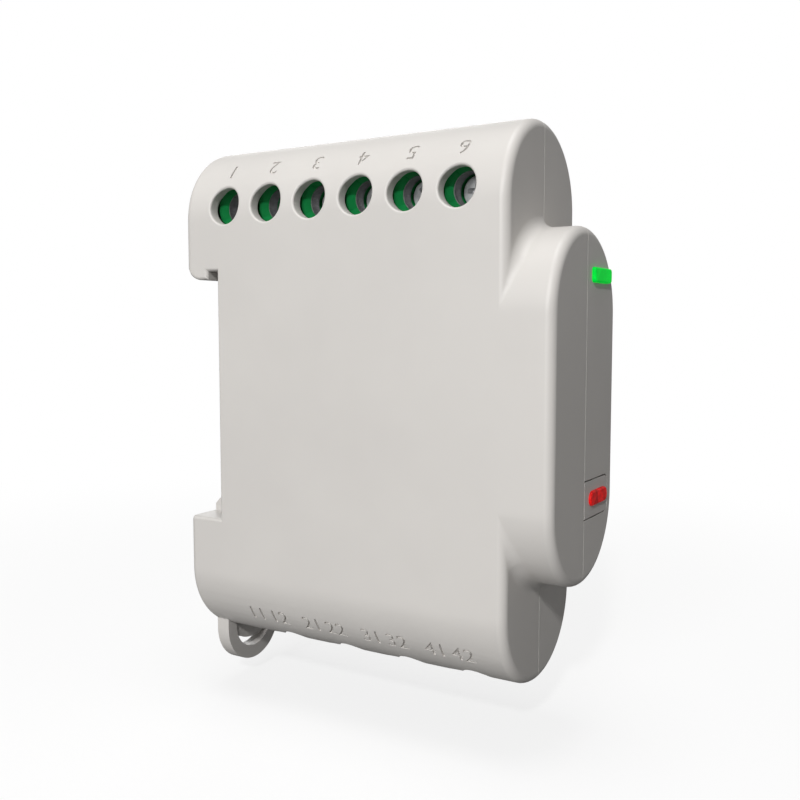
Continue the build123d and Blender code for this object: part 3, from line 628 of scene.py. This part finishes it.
makeLatchSpring()
print("latch done")


# Mains terminals: green housing, cages, contact bars and screws

housingFinish = {
    "colour": (0.008, 0.26, 0.065), "shade": (0.006, 0.20, 0.050), "toneScale": 200.0,
    "grainScale": 3000.0, "rough": 0.46, "spread": 0.12, "bump": 0.12, "depth": 0.02, "specular": 0.3,
}
housingPlastic = surfaceMaterial("terminalGreen", "moulded", housingFinish)
collarShape = {"sides": 8, "mouthRadius": 3.02, "throatRadius": 2.34, "depth": 1.3, "out": 0.05, "turn": 0.2}


def screwSpot(number, x):  # the point on a terminal screw's axis at this X
    low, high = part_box(f"terminal_screw_{number}")
    return Vector((x, (low.y + high.y) / 2, (low.z + high.z) / 2))


def funnelForm(centre):  # the flat-sided mouth that leads a screwdriver into a collar
    wide, narrow = collarShape["mouthRadius"], collarShape["throatRadius"]
    depth, out, sides = collarShape["depth"], collarShape["out"], collarShape["sides"]
    grow = (wide - narrow) / depth * out
    turns = [collarShape["turn"] + 2 * math.pi * k / sides for k in range(sides)]
    rings = []
    for along, r in ((-out, wide + grow), (depth, narrow)):
        rings.append([centre + Vector((along, r * math.cos(t), r * math.sin(t))) * mm for t in turns])
    return ringForm(rings)


def makeHousing():
    housing = copyOf("mains_terminal_housing", "mains_housing")
    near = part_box("mains_terminal_housing")[0].x
    forms = [funnelForm(screwSpot(number, near)) for number in terminals]
    carve(housing, meshObject("cutter", joinForms(forms)))
    softenShading(housing)
    standIn(housing, "mains_terminal_housing", housingPlastic)


makeHousing()

shadeSleeveShape = {"outer": 2.345, "inner": 2.22, "start": 1.34, "length": 1.75, "cutPast": 0.1}
# the linings' dark colour is painted shade inside the screw bores, not a steel the terminals have
shadeSleeveFinish = {
    "colour": (0.20, 0.20, 0.205), "shade": (0.10, 0.10, 0.105), "rough": 0.42, "spread": 0.2, "metal": 0.7,
    "stretch": (900, 3000, 3000), "bump": 0.15, "depth": 0.01,
}


def makeShadeSleeves():  # dark thin linings in the collar bores, between the collars and the screws: painted shade deep in each bore
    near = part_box("mains_terminal_housing")[0].x + shadeSleeveShape["start"] * mm
    length, past = shadeSleeveShape["length"] * mm, shadeSleeveShape["cutPast"] * mm
    radius, bore = shadeSleeveShape["outer"] * mm, shadeSleeveShape["inner"] * mm
    spots = [screwSpot(number, near) for number in terminals]
    outer = [turnedForm([(0, radius), (length, radius)], spot, (1, 0, 0)) for spot in spots]
    inner = [turnedForm([(-past, bore), (length + past, bore)], spot, (1, 0, 0)) for spot in spots]
    shadeSleeves = meshObject("collar_shade_sleeves", joinForms(outer))
    carve(shadeSleeves, meshObject("cutter", joinForms(inner)))
    softenShading(shadeSleeves)
    wear(shadeSleeves, surfaceMaterial("sleeveShadeSteel", "metal", shadeSleeveFinish))
    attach(shadeSleeves, "case")


makeShadeSleeves()

cageFinish = {
    "colour": (0.62, 0.62, 0.61), "shade": (0.42, 0.42, 0.42), "rough": 0.33, "spread": 0.2,
    "stretch": (900, 6000, 900), "bump": 0.15, "depth": 0.01,
}
contactFinish = {
    "colour": (0.74, 0.72, 0.69), "shade": (0.60, 0.55, 0.48), "rough": 0.26, "spread": 0.16,
    "stretch": (500, 500, 5000), "bump": 0.1, "depth": 0.01,
}
wear(nodes["mains_contacts"], surfaceMaterial("tinnedCopper", "metal", contactFinish))
cageSteel = surfaceMaterial("cageSteel", "metal", cageFinish)
for number in terminals:
    wear(nodes[f"terminal_cage_{number}"], cageSteel)

screwShape = {
    "headRadius": 2.1,
    "headHeight": 1.3,
    "headChamfer": 0.08,
    "rim": 0.3,
    "crown": 0.25,
    "roundSteps": 6,
    "sides": 48,
    "axisRadius": 0.001,
    "shank": 1.42,
    "endChamfer": 0.25,
    "pitch": 0.5,
    "thread": [(0, 0), (0.2, 0.06), (0.28, 0.06), (0.45, 0)],
    "threadStart": 0.2,
    "threadMargin": 0.5,
    "recessWidth": 0.72,
    "recessTaper": 0.16,
    "recessReach": 1.45,
    "recessDraw": 0.45,
    "recessDepth": 0.95,
    "recessOut": 0.5,
    "blendAngle": 38,
    "angles": [12, 40, 75, 20, 52, 8],
}
screwFinish = {
    "colour": (0.66, 0.66, 0.67), "shade": (0.46, 0.46, 0.47), "rough": 0.46, "spread": 0.16, "metal": 0.55,
    "stretch": (1500, 1500, 1500), "patchScale": 900.0, "bump": 0.2, "depth": 0.015,
}
screwSteel = surfaceMaterial("screwSteel", "metal", screwFinish)


def recessForm(top, angle):  # one tapered bar of the cross that sinks into the screw's head
    width, taper = screwShape["recessWidth"] / 2, screwShape["recessTaper"]
    reach, draw = screwShape["recessReach"], screwShape["recessDraw"]
    c, s = math.cos(math.radians(angle)), math.sin(math.radians(angle))
    rings = []
    for along, share in ((-screwShape["recessOut"], 0.0), (0.0, 0.0), (screwShape["recessDepth"], 1.0)):
        w = width - taper * share
        r = reach - draw * share
        corners = ((-r, -w), (r, -w), (r, w), (-r, w))
        rings.append([top + Vector((along, y * c - z * s, y * s + z * c)) * mm for y, z in corners])
    return ringForm(rings)


def screwProfile(length):  # (distance from the head's top, radius) pairs in mm, from head to end
    radius, rim, crown = screwShape["headRadius"], screwShape["rim"], screwShape["crown"]
    head, shank, steps = screwShape["headHeight"], screwShape["shank"], screwShape["roundSteps"]
    edge, end, axis = screwShape["headChamfer"], screwShape["endChamfer"], screwShape["axisRadius"]
    profile = [(0.0, axis)]
    for k in range(1, steps + 1):
        share = k / steps
        profile.append((crown * share**2, (radius - rim) * share))
    for k in range(1, steps + 1):
        turn = math.pi / 2 * k / steps
        profile.append((crown + rim * (1 - math.cos(turn)), radius - rim + rim * math.sin(turn)))
    profile += [(head - edge, radius), (head, radius - edge), (head, shank)]
    for k in range(int((length - head - screwShape["threadMargin"]) / screwShape["pitch"])):
        start = head + screwShape["threadStart"] + k * screwShape["pitch"]
        profile += [(start + along, shank + out) for along, out in screwShape["thread"]]
    return profile + [(length - end, shank), (length, shank - end), (length, axis)]


def makeTerminalScrew(number):
    low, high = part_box(f"terminal_screw_{number}")
    top = screwSpot(number, low.x)
    metres = [(along * mm, r * mm) for along, r in screwProfile((high.x - low.x) / mm)]
    screw = meshObject(f"clamp_screw_{number}", turnedForm(metres, top, (1, 0, 0), screwShape["sides"]))
    angle = screwShape["angles"][number - 1]
    for turn in (angle, angle + 90):
        carve(screw, meshObject("cutter", recessForm(top, turn)))
    softenShading(screw, screwShape["blendAngle"])
    standIn(screw, f"terminal_screw_{number}", screwSteel)


for number in terminals:
    makeTerminalScrew(number)
print("mains terminals done")


# Current transformer terminals with release buttons and leaf springs

releaseFinish = {
    "colour": (0.78, 0.22, 0.02), "shade": (0.68, 0.17, 0.015), "toneScale": 300.0,
    "grainScale": 3500.0, "rough": 0.40, "spread": 0.12, "bump": 0.12, "depth": 0.02,
}
clipFinish = {
    "colour": (0.64, 0.64, 0.62), "shade": (0.45, 0.45, 0.44), "rough": 0.24, "spread": 0.16,
    "stretch": (700, 700, 6000), "bump": 0.1, "depth": 0.01,
}
releasePlastic = surfaceMaterial("releaseOrange", "moulded", releaseFinish)
for number in ports:
    wear(nodes[f"ct_terminal_{number}"], housingPlastic)
for number in releases:
    wear(nodes[f"ct_release_{number}"], releasePlastic)
wear(nodes["ct_clips"], surfaceMaterial("clipSteel", "metal", clipFinish))
print("current transformer terminals done")


# Front lights and button

buttonFinish = {
    "colour": (0.615, 0.592, 0.566), "shade": (0.595, 0.573, 0.548), "toneScale": 90.0,
    "grainScale": 2600.0, "rough": 0.44, "spread": 0.10, "bump": 0.10, "depth": 0.03,
}
wear(nodes["front_button"], surfaceMaterial("buttonPlastic", "moulded", buttonFinish))

greenLens = {
    "colour": (0.0, 0.52, 0.035), "shade": (0.0, 0.42, 0.028), "toneScale": 500.0, "grainScale": 2400.0,
    "rough": 0.45, "spread": 0.1, "bump": 0.08, "depth": 0.02, "specular": 0.05, "lit": 0.88,
}
redLens = {
    "colour": (0.66, 0.010, 0.010), "shade": (0.28, 0.004, 0.004), "toneScale": 900.0, "grainScale": 1800.0,
    "rough": 0.42, "spread": 0.12, "bump": 0.2, "depth": 0.03, "specular": 0.15, "lit": 0.42,
}


def lensMaterial(name, finish):  # tinted clear plastic that its light emitting diode fills
    material = surfaceMaterial(name, "moulded", finish)
    tree = material.node_tree
    surface = next(n for n in tree.nodes if n.type == "GROUP")
    shader = tree.nodes["Principled BSDF"]
    tree.links.new(surface.outputs["Colour"], shader.inputs["Emission Color"])
    shader.inputs["Emission Strength"].default_value = finish["lit"]
    return material


wear(nodes["green_light_pipe"], lensMaterial("greenLens", greenLens))
wear(nodes["red_light_pipe"], lensMaterial("redLens", redLens))
print("front done")


# Board and what it carries

innerMoulded = {
    "main_board": {
        "colour": (0.010, 0.125, 0.045), "shade": (0.014, 0.165, 0.06), "toneScale": 350.0,
        "rough": 0.30, "coat": 0.3,
    },
    "push_switch": {"colour": (0.035, 0.035, 0.036), "shade": (0.05, 0.05, 0.05), "rough": 0.5},
    "switch_plunger": {"colour": (0.70, 0.67, 0.60), "shade": (0.64, 0.61, 0.54), "rough": 0.42},
    "power_diode": {"colour": (0.80, 0.78, 0.60), "shade": (0.62, 0.66, 0.48), "rough": 0.18, "coat": 0.5},
    "status_diode": {"colour": (0.80, 0.76, 0.60), "shade": (0.68, 0.58, 0.46), "rough": 0.18, "coat": 0.5},
    "relay": {"colour": (0.02, 0.085, 0.31), "shade": (0.016, 0.068, 0.25), "rough": 0.24, "coat": 0.3},
    "film_capacitor": {"colour": (0.56, 0.43, 0.09), "shade": (0.48, 0.36, 0.07), "rough": 0.25, "coat": 0.3},
    "metering_chip": {"colour": (0.022, 0.022, 0.023), "shade": (0.034, 0.034, 0.034), "rough": 0.55},
    "radio_board": {
        "colour": (0.010, 0.030, 0.055), "shade": (0.016, 0.045, 0.08), "toneScale": 500.0,
        "rough": 0.28, "coat": 0.3,
    },
    "transformer_core": {"colour": (0.05, 0.05, 0.055), "shade": (0.075, 0.075, 0.08), "rough": 0.62},
    "transformer_winding": {
        "colour": (0.72, 0.54, 0.07), "shade": (0.62, 0.44, 0.05), "rough": 0.22, "coat": 0.4,
    },
    "bulk_capacitors": {
        "colour": (0.035, 0.035, 0.055), "shade": (0.05, 0.05, 0.07), "rough": 0.26, "coat": 0.3,
    },
    "fusible_resistor": {"colour": (0.20, 0.33, 0.31), "shade": (0.16, 0.27, 0.25), "rough": 0.5},
    "choke": {"colour": (0.06, 0.06, 0.06), "shade": (0.09, 0.09, 0.09), "rough": 0.45},
    "varistor": {"colour": (0.05, 0.17, 0.46), "shade": (0.04, 0.13, 0.38), "rough": 0.38},
    "burden_resistors": {"colour": (0.03, 0.03, 0.03), "shade": (0.05, 0.05, 0.05), "rough": 0.3},
    "divider_resistors": {"colour": (0.03, 0.03, 0.03), "shade": (0.05, 0.05, 0.05), "rough": 0.3},
}
innerMetal = {
    "board_screws": {"colour": (0.52, 0.52, 0.52), "shade": (0.34, 0.34, 0.34), "rough": 0.34},
    "crystal": {"colour": (0.70, 0.70, 0.70), "shade": (0.52, 0.52, 0.52), "rough": 0.22},
    "radio_shield": {"colour": (0.69, 0.69, 0.67), "shade": (0.50, 0.50, 0.49), "rough": 0.3},
}
for kind, finishes in (("moulded", innerMoulded), ("metal", innerMetal)):
    for node, finish in finishes.items():
        wear(nodes[node], surfaceMaterial(node, kind, finish))
print("board done")


# Stage: floor, world, lamps and camera

stage = {
    "floorSize": 3.0,
    "floorClear": 2.8,
    "floorRough": 0.9,
    "floorSpecular": 0.0,
    "fadeStart": 0.05,
    "fadeEnd": 0.22,
    "floorColour": (0.95, 0.95, 0.95, 1),
    "floorBounce": (0.20, 0.20, 0.20, 1),
    "floorGlow": 0.75,
    "ambient": 0.14,
    "mirrored": 0.4,
}


def makeFloor():  # pale floor that turns into the white of the background away from the meter
    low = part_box("din_latch")[0].z - stage["floorClear"] * mm
    half = stage["floorSize"] / 2
    mesh = bpy.data.meshes.new("floor")
    corners = [(-half, -half, low), (half, -half, low), (half, half, low), (-half, half, low)]
    mesh.from_pydata(corners, [], [(0, 1, 2, 3)])
    floor = bpy.data.objects.new("floor", mesh)
    scene.collection.objects.link(floor)
    material, tree, shader = newMaterial("floor")
    link = tree.links.new
    shader.inputs["Roughness"].default_value = stage["floorRough"]
    shader.inputs["Specular IOR Level"].default_value = stage["floorSpecular"]
    path = addNode(tree, "ShaderNodeLightPath")
    tint = addNode(tree, "ShaderNodeMix", {"data_type": "RGBA"})
    link(path.outputs["Is Camera Ray"], tint.inputs[mixSockets["factor"]])
    tint.inputs[mixSockets["a"]].default_value = stage["floorBounce"]
    tint.inputs[mixSockets["b"]].default_value = stage["floorColour"]
    link(tint.outputs[mixSockets["result"]], shader.inputs["Base Color"])
    place = addNode(tree, "ShaderNodeNewGeometry")
    distance = addNode(tree, "ShaderNodeVectorMath", {"operation": "LENGTH"})
    link(place.outputs["Position"], distance.inputs[0])
    fade = addNode(tree, "ShaderNodeMapRange", {"interpolation_type": "SMOOTHSTEP"})
    fade.inputs["From Min"].default_value = stage["fadeStart"]
    fade.inputs["From Max"].default_value = stage["fadeEnd"]
    fade.inputs["To Min"].default_value = stage["floorGlow"]
    link(distance.outputs["Value"], fade.inputs["Value"])
    seen = addNode(tree, "ShaderNodeMath", {"operation": "MULTIPLY"})
    link(fade.outputs["Result"], seen.inputs[0])
    link(path.outputs["Is Camera Ray"], seen.inputs[1])
    glow = addNode(tree, "ShaderNodeEmission", Color=white)
    mix = addNode(tree, "ShaderNodeMixShader")
    link(seen.outputs[0], mix.inputs[0])
    link(shader.outputs["BSDF"], mix.inputs[1])
    link(glow.outputs["Emission"], mix.inputs[2])
    link(mix.outputs["Shader"], tree.nodes["Material Output"].inputs["Surface"])
    floor.data.materials.append(material)


def makeWorld():  # white where it is seen, dimmer as light and in reflections
    world = bpy.data.worlds.new("studio")
    scene.world = world
    world.use_nodes = True
    tree = world.node_tree
    background = tree.nodes["Background"]
    background.inputs["Color"].default_value = white
    path = addNode(tree, "ShaderNodeLightPath")
    strengths = {"To Min": stage["ambient"], "To Max": stage["mirrored"]}
    mirrored = addNode(tree, "ShaderNodeMapRange", **strengths)
    tree.links.new(path.outputs["Is Glossy Ray"], mirrored.inputs["Value"])
    seen = addNode(tree, "ShaderNodeMath", {"operation": "MAXIMUM"})
    tree.links.new(path.outputs["Is Camera Ray"], seen.inputs[0])
    tree.links.new(mirrored.outputs["Result"], seen.inputs[1])
    tree.links.new(seen.outputs[0], background.inputs["Strength"])


lamps = {
    "side": {"towards": (-0.97, -0.06, 0.22), "far": 0.9, "size": 0.3, "power": 3.9},
    "key": {"towards": (-0.80, -0.32, 0.52), "far": 0.9, "size": 0.07, "power": 3.4},
    "overhead": {"towards": (-0.1, -0.05, 1.0), "far": 0.8, "size": 0.4, "power": 2.7},
    "fill": {"towards": (0.80, 0.52, 0.30), "far": 0.9, "size": 0.5, "power": 1.8},
}


def makeLamp(name, settings):
    data = bpy.data.lights.new(name, "AREA")
    data.shape = "DISK"
    data.size = settings["size"]
    data.energy = settings["power"]
    lamp = bpy.data.objects.new(name, data)
    towards = Vector(settings["towards"]).normalized()
    lamp.location = towards * settings["far"]
    lamp.rotation_mode = "QUATERNION"
    lamp.rotation_quaternion = towards.to_track_quat("Z", "Y")
    scene.collection.objects.link(lamp)


camera = {
    "eye": (-113.598, -93.388, 10.468),
    "yaw": 31.276,
    "pitch": 4.527,
    "lens": 42.12,
    "sensor": 36.0,
    "clip": (0.005, 10.0),
}


def makeCamera():
    data = bpy.data.cameras.new("camera")
    data.lens = camera["lens"]
    data.sensor_width = camera["sensor"]
    data.clip_start, data.clip_end = camera["clip"]
    obj = bpy.data.objects.new("camera", data)
    obj.location = Vector(camera["eye"]) * mm
    tilt = math.radians(90 - camera["pitch"])
    obj.rotation_euler = (tilt, 0, math.radians(camera["yaw"] - 90))
    scene.collection.objects.link(obj)
    scene.camera = obj


makeFloor()
makeWorld()
for name, settings in lamps.items():
    makeLamp(name, settings)
makeCamera()
scene.view_settings.view_transform = "Standard"
print("stage done")
